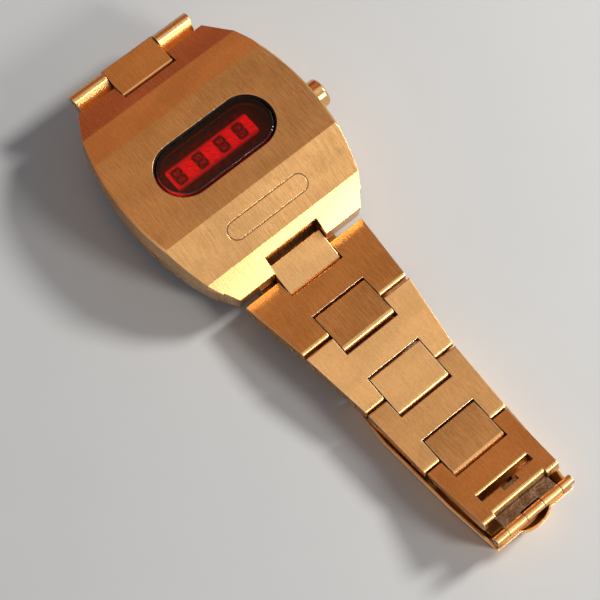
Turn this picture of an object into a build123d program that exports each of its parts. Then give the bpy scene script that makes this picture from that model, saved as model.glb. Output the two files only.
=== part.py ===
from build123d import *
from math import asin, cos, degrees, radians, sin, tan
import os

# A digital wrist watch with a light-emitting display, on a link bracelet with a fold-over clasp.
# It lies with the bracelet closed and pressed flat: the twelve o'clock half is folded under the
# case and lies on the table, the six o'clock half runs out above the clasp.
# Millimetres. X points to three o'clock, Y to twelve o'clock, Z up out of the display.
# The origin is on the table, straight below the centre of the lens.

os.makedirs("parts", exist_ok=True)

# Case outline, seen from above: a barrel with its corners cut
case_end_twelve = 19.4
case_end_six = 21.2
end_half_width_twelve = 12.45
end_half_width_six = 12.4
side_start_twelve = 14.3
side_start_six = 16.9
side_half_width_twelve = 15.4
side_half_width_six = 15.1
waist_half_width = 18.1
waist_y = -1.3

# Case section, seen from three o'clock
case_back_z = 3.0
back_plate = 1.0
top_z = 13.5
top_edge_twelve = 9.3
top_edge_six = 9.1
inner_facet_drop_twelve = 0.9
outer_facet_drop_twelve = 2.1
inner_facet_drop_six = 2.7
outer_facet_drop_six = 2.7
lug_underside_twelve = 8.8
lug_underside_six = 4.3
underside_knee_run = 3.2
underside_knee_z = 5.3
underside_run_twelve = 5.8
underside_run_six = 1.0
back_run_twelve = 7.8
back_run_six = 3.0
girdle_z = 9.4
upper_wall_taper = 4.0
lower_wall_taper = 5.0
girdle_flare = 0.3
girdle_step = 0.25
back_inset = 1.1
edge_bevel = 0.3

# Lens, its seat and its gasket
lens_length = 22.4
lens_width = 10.0
lens_seat_depth = 1.6
lens_ledge = 1.0
gasket_wall = 0.25
lens_bevel = 0.4
lens_sink = 0.05
nameplate_length = 15.8
nameplate_width = 3.3
nameplate_line = 0.22
nameplate_depth = 0.12

# Movement space in the case
cavity_x = 27.0
cavity_y = 24.0
cavity_corner = 3.0
cavity_middle_y = -0.5
ceiling_z = 11.0
plug_height = 0.8
plug_wall = 1.6
plug_gap = 0.1
back_gasket_width = 0.6
back_gasket_height = 0.35

# Movement
frame_gap = 0.3
frame_rim = 1.2
frame_floor_z = 5.0
board_z = 7.9
board_thickness = 0.8
board_gap = 0.2
battery_radius = 5.8
battery_height = 3.0
battery_pitch = 12.6
battery_gap = 0.15
battery_can_height_share = 0.8
battery_cap_radius_share = 0.86
strap_thickness = 0.25
strap_width = 4.0
package_x = 19.0
package_y = 6.6
package_height = 1.4
strip_x = 16.4
strip_y = 4.0
strip_height = 0.4
digit_centres = (-7.1, -2.8, 1.6, 5.3)
digit_width = 1.9
digit_height = 2.9
segment_width = 0.4
segment_gap = 0.08
segment_thickness = 0.12
display_shift_x = -0.4
display_shift_y = 0.4
chip_x = 7.0
chip_y = 6.0
chip_height = 1.3
chip_place = (-4.5, -7.2)
crystal_length = 6.0
crystal_radius = 0.95
crystal_place = (5.6, -7.6)
trimmer_radius = 1.7
trimmer_height = 1.2
trimmer_place = (8.6, 7.0)
blade_thickness = 0.2
blade_height = 1.7
blade_length = 3.2
blade_gap = 0.12
blade_x = 11.6
set_blade_height = 1.8

# Display button on the three o'clock side
button_y = -1.6
button_z = 8.6
button_radius = 2.5
button_proud = 2.3
button_cap_depth = 1.5
button_travel = 0.7
button_dome = 0.5
stem_radius = 0.7
stem_bore_gap = 0.06
button_bore_gap = 0.08
button_seat_spare = 0.5
button_spring_wall = 0.35
button_spring_length = 0.5
oring_section = 0.45
clip_radius = 1.5
clip_thickness = 0.3
clip_clearance = 0.1

# Recessed time-set button on the nine o'clock side
set_button_y = -6.1
set_button_z = 6.6
set_button_radius = 0.75
set_button_recess = 0.35
set_button_head = 1.1
set_button_travel = 0.4
set_stem_radius = 0.45
set_clip_radius = 1.0

# Bracelet
link_thickness = 2.6
link_pitch = 8.4
link_lead = 1.7
link_gap = 0.38
end_link_length = 10.7
link_edge_round = 0.9
link_nose_round = 1.2
crisp_edge = 0.2
soft_edge = 0.5
block_tail_round = 0.9
link_tail_round = 0.7
block_width = 10.1
block_pitch = 4.6
block_end = 1.4
lug_block_pitch = 3.75
lug_block_end = 1.0
block_round = 1.2
block_side_gap = 0.18
notch_gap = 0.4
notch_relief_height = 1.05
notch_relief_length = 0.75
pin_radius = 0.5
pin_clearance = 0.05
pin_recess = 0.15
lug_bar_radius = 0.55
lug_bar_grip = 1.7
lug_notch_radius = 1.5
lug_notch_gap = 0.2

# Half widths of each wide link, near the case and far from it
six_link_half_widths = ((11.95, 10.47), (10.52, 8.87), (8.85, 8.29), (8.03, 7.48))
twelve_link_half_widths = (
    (11.95, 10.47),
    (10.52, 8.87),
    (8.85, 8.29),
    (8.03, 7.48),
    (7.48, 7.3),
)

# Where the bracelet leaves the case, and how far below level each piece heads, going outward
six_lug_y = -20.04
six_lug_z = 5.56
twelve_lug_y = 18.0
twelve_lug_z = 9.62
six_headings = (15.0, -8.0, -5.0, 5.0, 3.0, -1.0, -5.0, -15.0)
twelve_first_heading = 5.0
fold_end_z = 2.6
settle_end_z = 1.52
landing_end_z = 1.335

# Clasp
slot_length = 10.4
slot_width = 1.3
slot_from_end = 3.1
slot_notch_length = 3.0
slot_notch_depth = 0.9
slot_edge_round = 0.5
bar_edge_round = 0.7
end_tab_step = 0.5
leaf_thickness = 0.8
leaf_half_width = 5.15
leaf_below_face = 1.65
leaf_hook_height = 1.35
leaf_hook_gap = 0.12
leaf_hook_thickness = 0.6
hinge_reach = 2.4
hinge_half_width = 7.7
knuckle_edges = (-7.7, -5.3, -1.75, 1.75, 5.3, 7.7)
knuckle_radius = 0.8
knuckle_gap = 0.1
neck_gap = 0.2
inner_leaf_thickness = 0.6
inner_leaf_z = 2.1
inner_leaf_half_width = 6.2
cover_barrel_half_width = 7.8
inner_leaf_corner = 1.6
inner_leaf_window = 5.0
inner_leaf_window_rail = 3.0
cover_floor = 0.6
cover_wall = 0.45
cover_lean = 13.0
cover_rear_half_width = 8.75
cover_half_width = 9.4
cover_knee_half_width = 8.75
cover_end_half_width = 7.65
cover_belly_y = -52.0
cover_taper_start_y = -66.0
cover_wall_height_rear = 2.9
cover_wall_height_front = 5.6
cover_hinge_y = -44.2
cover_hinge_z = 1.9
cover_ear_radius = 1.7
cover_front_gap = 0.2
lip_thickness = 0.5
lip_height = 5.8
lip_bulge = 1.15
lip_bulge_half_width = 3.2
lip_bulge_crown_half_width = 1.7
lip_bulge_crown_share = 0.8
tail_gap = 1.2
cut_over = 2.0
wall_sample = 0.1

body_bottom_z = case_back_z + back_plate
half_link = link_thickness / 2
half_block = block_width / 2
side_plane = Plane(origin=(0, 0, 0), x_dir=(0, 1, 0), z_dir=(1, 0, 0))


def finish(part, label):
    """Label a finished piece and write it to its own file."""
    part.label = label
    export_step(part, "parts/" + label + ".step")


# Bracelet geometry: each piece turns on a pin, and heads outward at an angle below level
def heading_vectors(side, heading):
    """Direction outward along a piece, and the normal of its outer face."""
    angle = radians(heading)
    along = (0, side * cos(angle), -sin(angle))
    outer = (0, side * sin(angle), cos(angle))
    return along, outer


def place_along(start, side, heading, distance, lift=0):
    """Point at a distance along a piece from its first pin, and above its middle plane."""
    along, outer = heading_vectors(side, heading)
    y = start[0] + along[1] * distance + outer[1] * lift
    z = start[1] + along[2] * distance + outer[2] * lift
    return (y, z)


def plan_plane(start, side, heading, lift=0):
    """Plane of a piece seen on its outer face: across, then outward along it."""
    y, z = place_along(start, side, heading, 0, lift)
    outer = heading_vectors(side, heading)[1]
    return Plane(origin=(0, y, z), x_dir=(side, 0, 0), z_dir=outer)


def section_plane(start, side, heading):
    """Plane of a piece seen from its side: outward along it, then out of its outer face."""
    along = heading_vectors(side, heading)[0]
    return Plane(origin=(0, start[0], start[1]), x_dir=along, z_dir=(side, 0, 0))


def chain_pins(start, side, headings):
    """First pin of each piece of a half of the bracelet, blocks and links in turn, and the end."""
    pins = [start]
    for index, heading in enumerate(headings):
        if index == 0:
            pitch = lug_block_pitch
        else:
            pitch = block_pitch if index % 2 == 0 else link_pitch
        pins.append(place_along(pins[-1], side, heading, pitch))
    return pins


# The folded half: its first link comes down to the table, and the rest lies flat on it
twelve_start = (twelve_lug_y, twelve_lug_z)
fold_pin = place_along(twelve_start, 1, twelve_first_heading, lug_block_pitch)
fold_heading = 180 - degrees(asin((fold_pin[1] - fold_end_z) / link_pitch))
settle_heading = 180 - degrees(asin((fold_end_z - settle_end_z) / block_pitch))
landing_heading = 180 - degrees(asin((settle_end_z - landing_end_z) / link_pitch))
last_heading_down = 180 - degrees(asin((landing_end_z - half_link) / block_pitch))
sloping_headings = (
    twelve_first_heading,
    fold_heading,
    settle_heading,
    landing_heading,
    last_heading_down,
)
flat_pieces = 2 * len(twelve_link_half_widths) - len(sloping_headings)
twelve_headings = sloping_headings + (180.0,) * flat_pieces
twelve_pins = chain_pins(twelve_start, 1, twelve_headings)
six_pins = chain_pins((six_lug_y, six_lug_z), -1, six_headings)

# Case
facet_points = (
    (case_end_twelve, top_z - inner_facet_drop_twelve - outer_facet_drop_twelve),
    (side_start_twelve, top_z - inner_facet_drop_twelve),
    (top_edge_twelve, top_z),
    (-top_edge_six, top_z),
    (-side_start_six, top_z - inner_facet_drop_six),
    (-case_end_six, top_z - inner_facet_drop_six - outer_facet_drop_six),
)
body_bottom_six = (-case_end_six + underside_run_six, body_bottom_z)
body_bottom_twelve = (case_end_twelve - underside_run_twelve, body_bottom_z)


def barrel_outline(grow):
    """Outline of the case from above, grown all round."""
    with BuildSketch() as outline:
        with BuildLine():
            Polyline(
                (side_half_width_six, -side_start_six),
                (end_half_width_six, -case_end_six),
                (-end_half_width_six, -case_end_six),
                (-side_half_width_six, -side_start_six),
            )
            ThreePointArc(
                (-side_half_width_six, -side_start_six),
                (-waist_half_width, waist_y),
                (-side_half_width_twelve, side_start_twelve),
            )
            Polyline(
                (-side_half_width_twelve, side_start_twelve),
                (-end_half_width_twelve, case_end_twelve),
                (end_half_width_twelve, case_end_twelve),
                (side_half_width_twelve, side_start_twelve),
            )
            ThreePointArc(
                (side_half_width_twelve, side_start_twelve),
                (waist_half_width, waist_y),
                (side_half_width_six, -side_start_six),
            )
        make_face()
        if grow:
            offset(amount=grow, kind=Kind.INTERSECTION)
    return outline.sketch


def wall_x(y):
    """Half width of the case outline at a place along it."""
    with BuildSketch() as strip:
        add(barrel_outline(0))
        with Locations((0, y)):
            Rectangle(4 * waist_half_width, wall_sample, mode=Mode.INTERSECT)
    return strip.sketch.bounding_box().max.X


nameplate_y = -(top_edge_six + side_start_six) / 2
nameplate_z = top_z - inner_facet_drop_six / 2
facet_slope = inner_facet_drop_six / (side_start_six - top_edge_six)
nameplate_plane = Plane(
    origin=(0, nameplate_y, nameplate_z), x_dir=(1, 0, 0), z_dir=(0, -facet_slope, 1)
)
lens_seat_z = top_z - lens_seat_depth
display_button_x = wall_x(button_y) + girdle_flare
button_seat_x = display_button_x - button_cap_depth - button_travel - button_seat_spare
set_button_x = -wall_x(set_button_y)
inner_wall_x = cavity_x / 2
button_plane = Plane(origin=(0, button_y, button_z), x_dir=(0, 1, 0), z_dir=(1, 0, 0))
set_plane = Plane(origin=(0, set_button_y, set_button_z), x_dir=(0, -1, 0), z_dir=(-1, 0, 0))
oring_x = (inner_wall_x + button_seat_x - oring_section) / 2
set_floor_x = -set_button_x - set_button_recess - set_button_head - set_button_travel - clip_clearance

with BuildPart() as case_body:
    with BuildSketch(Plane.XY.offset(girdle_z)):
        add(barrel_outline(girdle_flare))
    extrude(amount=top_z - girdle_z, taper=upper_wall_taper)
    with BuildSketch(Plane.XY.offset(girdle_z)):
        add(barrel_outline(girdle_flare - girdle_step))
    extrude(amount=body_bottom_z - girdle_z, taper=lower_wall_taper)
    with BuildSketch(side_plane):
        with BuildLine():
            Polyline(
                *facet_points,
                (-case_end_six, lug_underside_six),
                body_bottom_six,
                body_bottom_twelve,
                (case_end_twelve - underside_knee_run, underside_knee_z),
                (case_end_twelve, lug_underside_twelve),
                close=True,
            )
        make_face()
    extrude(amount=waist_half_width + cut_over, both=True, mode=Mode.INTERSECT)
    top_face = case_body.faces().filter_by(Axis.Z).sort_by(Axis.Z)[-1]
    chamfer(top_face.edges().filter_by(GeomType.LINE, reverse=True), length=edge_bevel)
    # Lug notches for the first blocks, with the holes for their spring bars
    for side, lug in ((1, twelve_start), (-1, (six_lug_y, six_lug_z))):
        floor_y = lug[0] - side * lug_notch_radius
        end_y = side * (case_end_six + cut_over)
        with BuildSketch(Plane.XY.offset(case_back_z)):
            with Locations((0, (floor_y + end_y) / 2)):
                Rectangle(block_width + 2 * lug_notch_gap, abs(end_y - floor_y))
        extrude(amount=top_z, mode=Mode.SUBTRACT)
        with BuildSketch(side_plane):
            with Locations(lug):
                Circle(lug_bar_radius)
        extrude(amount=half_block + lug_notch_gap + lug_bar_grip, both=True, mode=Mode.SUBTRACT)
    # Movement space, opened from below
    with BuildSketch(Plane.XY.offset(body_bottom_z)):
        with Locations((0, cavity_middle_y)):
            RectangleRounded(cavity_x, cavity_y, cavity_corner)
    extrude(amount=ceiling_z - body_bottom_z, mode=Mode.SUBTRACT)
    # Window: a seat for the lens above a narrower opening
    with BuildSketch(Plane.XY.offset(lens_seat_z)):
        SlotOverall(lens_length, lens_width)
    extrude(amount=lens_seat_depth, mode=Mode.SUBTRACT)
    with BuildSketch(Plane.XY.offset(ceiling_z)):
        SlotOverall(lens_length - 2 * lens_ledge, lens_width - 2 * lens_ledge)
    extrude(amount=lens_seat_depth, mode=Mode.SUBTRACT)
    # Engraved line of the bare nameplate on the facet below the lens
    with BuildSketch(nameplate_plane):
        SlotOverall(nameplate_length, nameplate_width)
        SlotOverall(
            nameplate_length - 2 * nameplate_line,
            nameplate_width - 2 * nameplate_line,
            mode=Mode.SUBTRACT,
        )
    extrude(amount=-nameplate_depth, mode=Mode.SUBTRACT)
    # Display button: counterbore for the cap, bore for the stem, groove for the ring seal
    with BuildSketch(button_plane.offset(button_seat_x)):
        Circle(button_radius + button_bore_gap)
    extrude(amount=display_button_x, mode=Mode.SUBTRACT)
    with BuildSketch(button_plane.offset(inner_wall_x - cut_over)):
        Circle(stem_radius + stem_bore_gap)
    extrude(amount=display_button_x, mode=Mode.SUBTRACT)
    with BuildSketch(button_plane.offset(oring_x)):
        Circle(stem_radius + oring_section)
    extrude(amount=oring_section, mode=Mode.SUBTRACT)
    # Time-set button: recess for the head, bore for the stem
    with BuildSketch(set_plane.offset(set_floor_x)):
        Circle(set_button_radius + button_bore_gap)
    extrude(amount=waist_half_width, mode=Mode.SUBTRACT)
    with BuildSketch(set_plane.offset(inner_wall_x - cut_over)):
        Circle(set_stem_radius + stem_bore_gap)
    extrude(amount=waist_half_width, mode=Mode.SUBTRACT)
finish(case_body.part, "case_body")

plug_x = cavity_x - 2 * plug_gap
plug_y = cavity_y - 2 * plug_gap
gasket_inner_x = cavity_x + 2 * plug_gap
gasket_inner_y = cavity_y + 2 * plug_gap

with BuildPart() as case_back:
    with BuildSketch(Plane.XY.offset(body_bottom_z)):
        add(barrel_outline(-back_inset))
    extrude(amount=-back_plate, taper=lower_wall_taper)
    with BuildSketch(side_plane):
        with BuildLine():
            Polyline(
                body_bottom_six,
                (-case_end_six + back_run_six, case_back_z),
                (case_end_twelve - back_run_twelve, case_back_z),
                body_bottom_twelve,
                close=True,
            )
        make_face()
    extrude(amount=waist_half_width, both=True, mode=Mode.INTERSECT)
    with BuildSketch(Plane.XY.offset(body_bottom_z)):
        with Locations((0, cavity_middle_y)):
            RectangleRounded(plug_x, plug_y, cavity_corner - plug_gap)
            RectangleRounded(
                plug_x - 2 * plug_wall,
                plug_y - 2 * plug_wall,
                cavity_corner - plug_wall,
                mode=Mode.SUBTRACT,
            )
    extrude(amount=plug_height)
    with BuildSketch(Plane.XY.offset(body_bottom_z)):
        with Locations((0, cavity_middle_y)):
            RectangleRounded(
                gasket_inner_x + 2 * back_gasket_width,
                gasket_inner_y + 2 * back_gasket_width,
                cavity_corner + back_gasket_width,
            )
            RectangleRounded(gasket_inner_x, gasket_inner_y, cavity_corner, mode=Mode.SUBTRACT)
    extrude(amount=-back_gasket_height, mode=Mode.SUBTRACT)
finish(case_back.part, "case_back")

with BuildPart() as back_gasket:
    with BuildSketch(Plane.XY.offset(body_bottom_z - back_gasket_height)):
        with Locations((0, cavity_middle_y)):
            RectangleRounded(
                gasket_inner_x + 2 * back_gasket_width,
                gasket_inner_y + 2 * back_gasket_width,
                cavity_corner + back_gasket_width,
            )
            RectangleRounded(gasket_inner_x, gasket_inner_y, cavity_corner, mode=Mode.SUBTRACT)
    extrude(amount=back_gasket_height)
finish(back_gasket.part, "back_gasket")

# Lens and its gasket
with BuildPart() as lens:
    with BuildSketch(Plane.XY.offset(lens_seat_z)):
        SlotOverall(lens_length - 2 * gasket_wall, lens_width - 2 * gasket_wall)
    extrude(amount=lens_seat_depth - lens_sink)
    chamfer(lens.faces().sort_by(Axis.Z)[-1].edges(), length=lens_bevel)
finish(lens.part, "lens")

with BuildPart() as lens_gasket:
    with BuildSketch(Plane.XY.offset(lens_seat_z)):
        SlotOverall(lens_length, lens_width)
        SlotOverall(
            lens_length - 2 * gasket_wall, lens_width - 2 * gasket_wall, mode=Mode.SUBTRACT
        )
    extrude(amount=lens_seat_depth - lens_sink - lens_bevel)
finish(lens_gasket.part, "lens_gasket")

# Movement
frame_x = cavity_x - 2 * frame_gap
frame_y = cavity_y - 2 * frame_gap
battery_y = cavity_middle_y
battery_places = [(-battery_pitch / 2, battery_y), (battery_pitch / 2, battery_y)]
frame_top_z = ceiling_z - battery_gap
clip_x = inner_wall_x - clip_clearance - clip_thickness
stem_end_x = blade_x + blade_gap + button_travel
set_stem_end_x = blade_x + blade_gap + set_button_travel
button_cutout = clip_radius + clip_clearance + button_travel

with BuildPart() as module_frame:
    with BuildSketch(Plane.XY.offset(frame_floor_z)):
        with Locations((0, cavity_middle_y)):
            RectangleRounded(frame_x, frame_y, cavity_corner - frame_gap)
    extrude(amount=frame_top_z - frame_floor_z)
    with BuildSketch(Plane.XY.offset(board_z)):
        with Locations((0, cavity_middle_y)):
            Rectangle(frame_x - 2 * frame_rim, frame_y - 2 * frame_rim)
    extrude(amount=frame_top_z - board_z, mode=Mode.SUBTRACT)
    with BuildSketch(Plane.XY.offset(frame_floor_z)):
        with Locations(*battery_places):
            Circle(battery_radius + battery_gap)
    extrude(amount=board_z - frame_floor_z, mode=Mode.SUBTRACT)
    # Openings in the rim for the stems of both buttons
    with BuildSketch(button_plane.offset(inner_wall_x - 2 * frame_rim)):
        Rectangle(2 * button_cutout, 2 * button_cutout)
    extrude(amount=2 * frame_rim, mode=Mode.SUBTRACT)
    with BuildSketch(set_plane.offset(inner_wall_x - 2 * frame_rim)):
        Rectangle(2 * button_cutout, 2 * button_cutout)
    extrude(amount=2 * frame_rim, mode=Mode.SUBTRACT)
finish(module_frame.part, "module_frame")

board_x = frame_x - 2 * frame_rim - 2 * board_gap
board_y = frame_y - 2 * frame_rim - 2 * board_gap
board_top_z = board_z + board_thickness
board_notch = board_x / 2 - blade_x + button_travel + blade_gap

with BuildPart() as circuit_board:
    with BuildSketch(Plane.XY.offset(board_z)):
        with Locations((0, cavity_middle_y)):
            Rectangle(board_x, board_y)
        with Locations((board_x / 2, button_y)):
            Rectangle(2 * board_notch, 2 * stem_radius + 2 * blade_thickness, mode=Mode.SUBTRACT)
    extrude(amount=board_thickness)
finish(circuit_board.part, "circuit_board")

with BuildPart() as led_package:
    with BuildSketch(Plane.XY.offset(board_top_z)):
        with Locations((display_shift_x, display_shift_y)):
            RectangleRounded(package_x, package_y, segment_width)
    extrude(amount=package_height)
finish(led_package.part, "led_package")

strip_z = board_top_z + package_height
with BuildPart() as display_strip:
    with BuildSketch(Plane.XY.offset(strip_z)):
        with Locations((display_shift_x, display_shift_y)):
            RectangleRounded(strip_x, strip_y, segment_width)
    extrude(amount=strip_height)
finish(display_strip.part, "display_strip")

bar_length = digit_width - segment_width - 2 * segment_gap
post_length = (digit_height - segment_width) / 2 - segment_width / 2 - segment_gap
with BuildPart() as led_digits:
    with BuildSketch(Plane.XY.offset(strip_z + strip_height)):
        for centre in digit_centres:
            for step in (-1, 0, 1):
                y = display_shift_y + step * (digit_height - segment_width) / 2
                with Locations((centre, y)):
                    Rectangle(bar_length, segment_width)
            for column in (-1, 1):
                for row in (-1, 1):
                    x = centre + column * (digit_width - segment_width) / 2
                    y = display_shift_y + row * (digit_height - segment_width) / 4
                    with Locations((x, y)):
                        Rectangle(segment_width, post_length)
    extrude(amount=segment_thickness)
finish(led_digits.part, "led_digits")

with BuildPart() as driver_chip:
    with BuildSketch(Plane.XY.offset(board_top_z)):
        with Locations(chip_place):
            Rectangle(chip_x, chip_y)
    extrude(amount=chip_height)
    chamfer(driver_chip.edges().group_by(Axis.Z)[-1], length=segment_width)
finish(driver_chip.part, "driver_chip")

with BuildPart() as crystal_can:
    with BuildSketch(side_plane.offset(crystal_place[0] - crystal_length / 2)):
        with Locations((crystal_place[1], board_top_z + crystal_radius)):
            Circle(crystal_radius)
    extrude(amount=crystal_length)
    fillet(crystal_can.edges().sort_by(Axis.X)[-1], radius=segment_width)
finish(crystal_can.part, "crystal_can")

with BuildPart() as trimmer_capacitor:
    with BuildSketch(Plane.XY.offset(board_top_z)):
        with Locations(trimmer_place):
            Circle(trimmer_radius)
    extrude(amount=trimmer_height)
    with BuildSketch(Plane.XY.offset(board_top_z + trimmer_height)):
        with Locations(trimmer_place):
            Rectangle(trimmer_radius, segment_width)
    extrude(amount=-segment_width, mode=Mode.SUBTRACT)
finish(trimmer_capacitor.part, "trimmer_capacitor")

battery_bottom_z = board_z - battery_gap / 2 - battery_height
can_height = battery_height * battery_can_height_share
with BuildPart() as batteries:
    with BuildSketch(Plane.XY.offset(battery_bottom_z + battery_height)):
        with Locations(*battery_places):
            Circle(battery_radius)
    extrude(amount=-can_height)
    with BuildSketch(Plane.XY.offset(battery_bottom_z)):
        with Locations(*battery_places):
            Circle(battery_radius * battery_cap_radius_share)
    extrude(amount=battery_height - can_height)
finish(batteries.part, "batteries")

with BuildPart() as battery_strap:
    with BuildSketch(Plane.XY.offset(battery_bottom_z)):
        with Locations((0, battery_y)):
            RectangleRounded(battery_pitch + strap_width, strap_width, strap_width / 3)
    extrude(amount=-strap_thickness)
finish(battery_strap.part, "battery_strap")

# A blade stands on the board at the display button's stem, and one hangs below it at the other's
with BuildPart() as contact_blades:
    with BuildSketch(Plane.XY.offset(board_top_z)):
        with Locations((blade_x - blade_thickness / 2, button_y)):
            Rectangle(blade_thickness, blade_length)
    extrude(amount=blade_height)
    with BuildSketch(Plane.XY.offset(board_z)):
        with Locations((-blade_x + blade_thickness / 2, set_button_y)):
            Rectangle(blade_thickness, blade_length)
    extrude(amount=-set_blade_height)
finish(contact_blades.part, "contact_blades")

# Display button
cap_inner_x = display_button_x - button_cap_depth
with BuildPart() as display_button:
    with BuildSketch(button_plane.offset(cap_inner_x)):
        Circle(button_radius)
    extrude(amount=button_cap_depth + button_proud)
    fillet(display_button.edges().sort_by(Axis.X)[-1], radius=button_dome)
    with BuildSketch(button_plane.offset(stem_end_x)):
        Circle(stem_radius)
    extrude(amount=cap_inner_x - stem_end_x)
finish(display_button.part, "display_button")

with BuildPart() as display_button_spring:
    with BuildSketch(button_plane.offset(button_seat_x)):
        Circle(stem_radius + stem_bore_gap + button_spring_wall)
        Circle(stem_radius + stem_bore_gap, mode=Mode.SUBTRACT)
    extrude(amount=button_spring_length)
finish(display_button_spring.part, "display_button_spring")

with BuildPart() as display_button_seal:
    with BuildSketch(button_plane.offset(oring_x)):
        Circle(stem_radius + oring_section)
        Circle(stem_radius + stem_bore_gap / 2, mode=Mode.SUBTRACT)
    extrude(amount=oring_section)
finish(display_button_seal.part, "display_button_seal")

with BuildPart() as display_button_clip:
    with BuildSketch(button_plane.offset(clip_x)):
        Circle(clip_radius)
        Circle(stem_radius, mode=Mode.SUBTRACT)
    extrude(amount=clip_thickness)
finish(display_button_clip.part, "display_button_clip")

# Time-set button
set_head_x = -set_button_x - set_button_recess
with BuildPart() as set_button:
    with BuildSketch(set_plane.offset(set_head_x)):
        Circle(set_button_radius)
    extrude(amount=-set_button_head)
    with BuildSketch(set_plane.offset(set_stem_end_x)):
        Circle(set_stem_radius)
    extrude(amount=set_head_x - set_button_head - set_stem_end_x)
finish(set_button.part, "set_button")

with BuildPart() as set_button_clip:
    with BuildSketch(set_plane.offset(inner_wall_x - clip_clearance - clip_thickness)):
        Circle(set_clip_radius)
        Circle(set_stem_radius, mode=Mode.SUBTRACT)
    extrude(amount=clip_thickness)
finish(set_button_clip.part, "set_button_clip")

# Spring bars that hold the bracelet in the lugs
for label, lug in (("lug_bar_twelve", twelve_start), ("lug_bar_six", (six_lug_y, six_lug_z))):
    with BuildPart() as lug_bar:
        with BuildSketch(side_plane):
            with Locations(lug):
                Circle(lug_bar_radius)
        extrude(amount=half_block + lug_notch_gap + lug_bar_grip - pin_recess, both=True)
    finish(lug_bar.part, label)


# Centre blocks, each with its outer face softened along the edge towards six o'clock
def make_block(label, start, side, heading, at_lug):
    """A centre block with a bore for the pin at each end."""
    pitch = lug_block_pitch if at_lug else block_pitch
    near_end = lug_block_end if at_lug else block_end
    near_radius = lug_bar_radius if at_lug else pin_radius
    section = section_plane(start, side, heading)
    with BuildPart() as block:
        with BuildSketch(section) as outline:
            with Locations(((pitch + block_end - near_end) / 2, 0)):
                Rectangle(pitch + block_end + near_end, link_thickness)
            fillet(outline.vertices().group_by(Axis.Y)[0], radius=block_round)
            near_edge = soft_edge if side > 0 else crisp_edge
            far_edge = crisp_edge if side > 0 else block_tail_round
            for corner, radius in ((0, near_edge), (-1, far_edge)):
                outer = outline.vertices().group_by(Axis.Y)[-1].sort_by(Axis.X)
                fillet(outer[corner], radius=radius)
        extrude(amount=half_block, both=True)
        for distance, radius in ((0, near_radius), (pitch, pin_radius)):
            with BuildSketch(section):
                with Locations((distance, 0)):
                    Circle(radius + pin_clearance)
            extrude(amount=half_block + cut_over, both=True, mode=Mode.SUBTRACT)
    finish(block.part, label)


# Wide links
def half_width_at(half_widths, length, distance):
    """Half width of a link at a distance along it from its first pin."""
    share = (distance + link_lead) / (length + link_lead)
    return half_widths[0] + (half_widths[1] - half_widths[0]) * share


def link_blank(start, side, heading, half_widths, length):
    """A wide link with tapering sides and rounded inner edges, before its notches are cut."""
    with BuildPart() as blank:
        with BuildSketch(section_plane(start, side, heading)) as outline:
            with Locations(((length - link_lead) / 2, 0)):
                Rectangle(length + link_lead, link_thickness)
            fillet(outline.vertices().group_by(Axis.Y)[0], radius=link_edge_round)
            near_edge = link_nose_round if side > 0 else crisp_edge
            far_edge = crisp_edge if side > 0 else link_tail_round
            for corner, radius in ((0, near_edge), (-1, far_edge)):
                outer = outline.vertices().group_by(Axis.Y)[-1].sort_by(Axis.X)
                fillet(outer[corner], radius=radius)
        extrude(amount=half_widths[0], both=True)
        with BuildSketch(plan_plane(start, side, heading)):
            with BuildLine():
                Polyline(
                    (-half_widths[0], -link_lead),
                    (half_widths[0], -link_lead),
                    (half_widths[1], length),
                    (-half_widths[1], length),
                    close=True,
                )
            make_face()
        extrude(amount=link_thickness, both=True, mode=Mode.INTERSECT)
    return blank.part


def notch_section(mouth, floor, outward):
    """Side view of a notch for a block, relieved at the inner face so that the block can fold."""
    relieved = floor + outward * notch_relief_length
    return (
        (mouth, half_link + cut_over),
        (floor, half_link + cut_over),
        (floor, -half_link + notch_relief_height),
        (relieved, -half_link),
        (relieved, -half_link - cut_over),
        (mouth, -half_link - cut_over),
    )


def make_link(label, start, side, heading, half_widths, length, notches, pins):
    """A wide link, cut for its blocks, and the pins that are pressed through it."""
    section = section_plane(start, side, heading)
    with BuildPart() as link:
        add(link_blank(start, side, heading, half_widths, length))
        for points in notches:
            with BuildSketch(section):
                with BuildLine():
                    Polyline(*points, close=True)
                make_face()
            extrude(amount=half_block + block_side_gap, both=True, mode=Mode.SUBTRACT)
        for distance in pins:
            with BuildSketch(section):
                with Locations((distance, 0)):
                    Circle(pin_radius)
            extrude(amount=half_widths[0], both=True, mode=Mode.SUBTRACT)
    with BuildPart() as link_pins:
        for distance in pins:
            with BuildSketch(section):
                with Locations((distance, 0)):
                    Circle(pin_radius)
            reach = half_width_at(half_widths, length, distance) - pin_recess
            extrude(amount=reach, both=True)
    finish(link_pins.part, label + "_pins")
    return link


link_length = link_pitch + block_pitch - link_lead - link_gap
notch_floor = block_end + notch_gap
lead_notch = notch_section(-link_lead - cut_over, notch_floor, 1)
tail_notch = notch_section(link_length + cut_over, link_pitch - notch_floor, -1)

# The folded half, five links: the last has no tail notch and stops short of the clasp cover
last_twelve_pin = twelve_pins[-2]
tail_length = last_twelve_pin[0] - cover_hinge_y - cover_ear_radius - tail_gap
for index, half_widths in enumerate(twelve_link_half_widths):
    number = str(index + 1)
    block_start = twelve_pins[2 * index]
    block_heading = twelve_headings[2 * index]
    make_block("twelve_block_" + number, block_start, 1, block_heading, index == 0)
    start = twelve_pins[2 * index + 1]
    heading = twelve_headings[2 * index + 1]
    name = "twelve_link_" + number
    if index < len(twelve_link_half_widths) - 1:
        notches = (lead_notch, tail_notch)
        link = make_link(name, start, 1, heading, half_widths, link_length, notches, (0, link_pitch))
    else:
        link = make_link(name, start, 1, heading, half_widths, tail_length, (lead_notch,), (0,))
    finish(link.part, name)

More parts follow.
